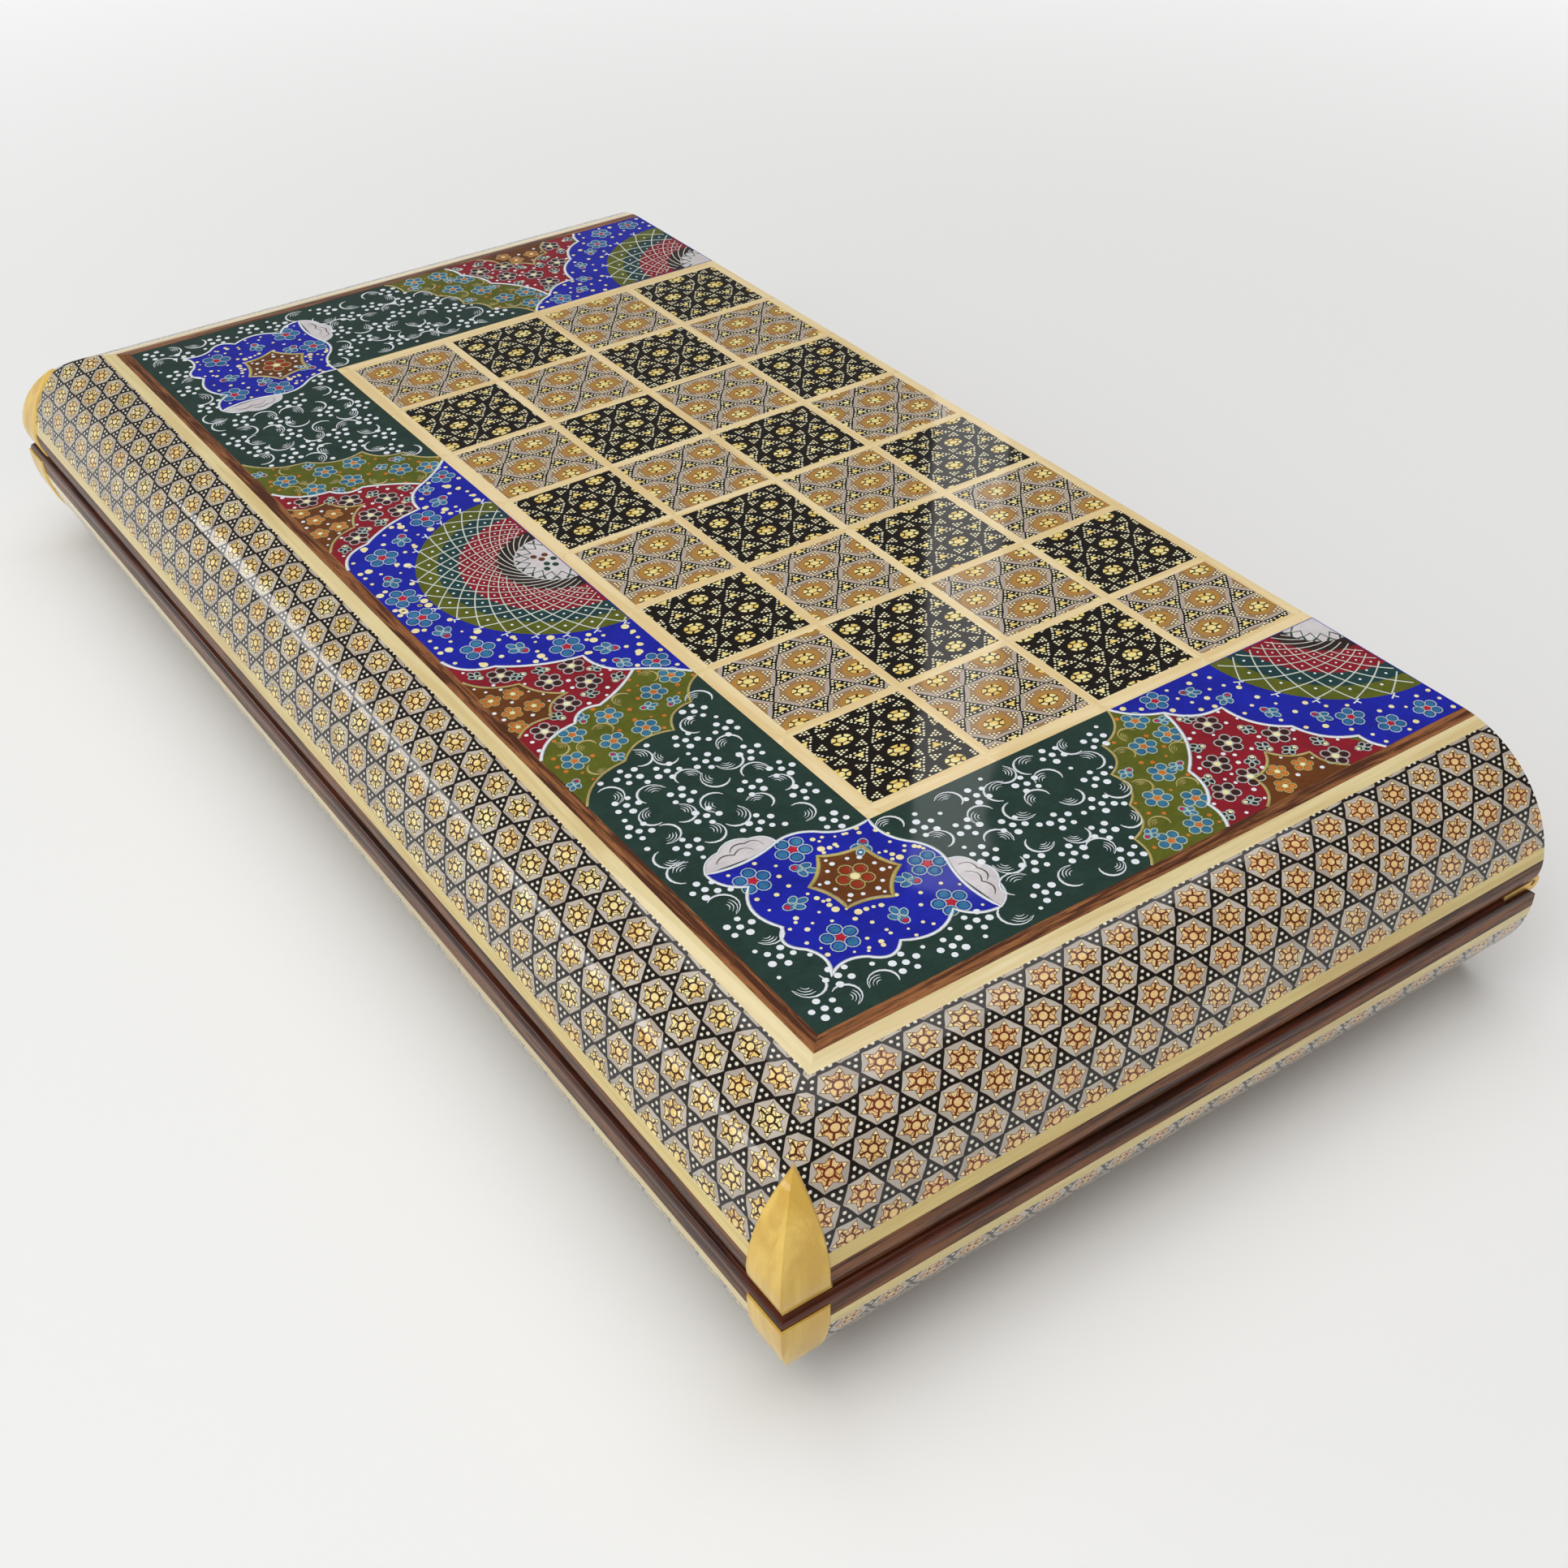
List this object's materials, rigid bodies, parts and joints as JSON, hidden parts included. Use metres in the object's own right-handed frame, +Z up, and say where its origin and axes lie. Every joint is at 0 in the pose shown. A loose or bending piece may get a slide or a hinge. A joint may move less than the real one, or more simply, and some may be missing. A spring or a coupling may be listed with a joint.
{
  "type": "folding game board case",
  "caption": "Folding box board in two inlaid trays on a continuous hinge: chess squares and painted panels outside, backgammon points and notched rails inside.",
  "frame": {"origin": "middle of the closed case's footprint, on the surface that it rests on", "axes": "+Z up from the lower chess face, +X across the case towards the hinge, +Y along the hinge"},
  "size_m": [0.255, 0.5008, 0.0792],
  "materials": {
    "carcass_wood": "plain hardwood, planed",
    "inlay_mosaic": "micro mosaic of wood, bone and wire under clear lacquer",
    "light_strip_wood": "pale yellow hardwood under clear lacquer",
    "walnut": "dark reddish hardwood under clear lacquer",
    "leaf_wood": "yellow hardwood under clear lacquer",
    "dark_strip_wood": "dark stained hardwood under clear lacquer",
    "cream_strip_wood": "cream hardwood under clear lacquer",
    "painted_ground": "dark green painted ornament under clear lacquer",
    "light_square_inlay": "light micro mosaic under clear lacquer",
    "dark_square_inlay": "dark micro mosaic under clear lacquer",
    "field_wood": "dark hardwood under satin lacquer",
    "light_point_inlay": "light hardwood under satin lacquer",
    "dark_point_inlay": "dark hardwood under satin lacquer",
    "hinge_brass": "brushed brass",
    "pin_steel": "drawn steel wire"
  },
  "bodies": {
    "lower_tray": {"lower_board": "carcass_wood", "lower_rail_long": "carcass_wood", "lower_rail_near": "carcass_wood", "lower_rail_far": "carcass_wood", "lower_hinge_rail": "carcass_wood", "lower_mosaic_long": "inlay_mosaic", "lower_mosaic_near": "inlay_mosaic", "lower_mosaic_far": "inlay_mosaic", "lower_side_strips": "light_strip_wood", "lower_walnut_bands": "walnut", "lower_corner_leaves": "leaf_wood", "lower_dark_edge_strips": "dark_strip_wood", "lower_light_edge_strips": "cream_strip_wood", "lower_painted_panel": "painted_ground", "lower_grid_strips": "cream_strip_wood", "lower_light_squares": "light_square_inlay", "lower_dark_squares": "dark_square_inlay", "lower_field_panel": "field_wood", "lower_light_points": "light_point_inlay", "lower_dark_points": "dark_point_inlay", "lower_checker_rail_near": "walnut", "lower_checker_rail_far": "walnut", "lower_hinge_leaf": "hinge_brass", "lower_rim_bead": "walnut", "lower_hinge_pin": "pin_steel"},
    "upper_tray": {"upper_board": "carcass_wood", "upper_rail_long": "carcass_wood", "upper_rail_near": "carcass_wood", "upper_rail_far": "carcass_wood", "upper_hinge_rail": "carcass_wood", "upper_mosaic_long": "inlay_mosaic", "upper_mosaic_near": "inlay_mosaic", "upper_mosaic_far": "inlay_mosaic", "upper_side_strips": "light_strip_wood", "upper_walnut_bands": "walnut", "upper_corner_leaves": "leaf_wood", "upper_dark_edge_strips": "dark_strip_wood", "upper_light_edge_strips": "cream_strip_wood", "upper_painted_panel": "painted_ground", "upper_grid_strips": "cream_strip_wood", "upper_light_squares": "light_square_inlay", "upper_dark_squares": "dark_square_inlay", "upper_field_panel": "field_wood", "upper_light_points": "light_point_inlay", "upper_dark_points": "dark_point_inlay", "upper_checker_rail_near": "walnut", "upper_checker_rail_far": "walnut", "upper_hinge_leaf": "hinge_brass"}
  },
  "joints": [
    {"name": "case_hinge", "type": "hinge", "parent": "lower_tray", "child": "upper_tray", "pos_m": [0.12498, 0, 0.0396], "axis": [0, 1, 0], "range_deg": [0, 180]}
  ]
}
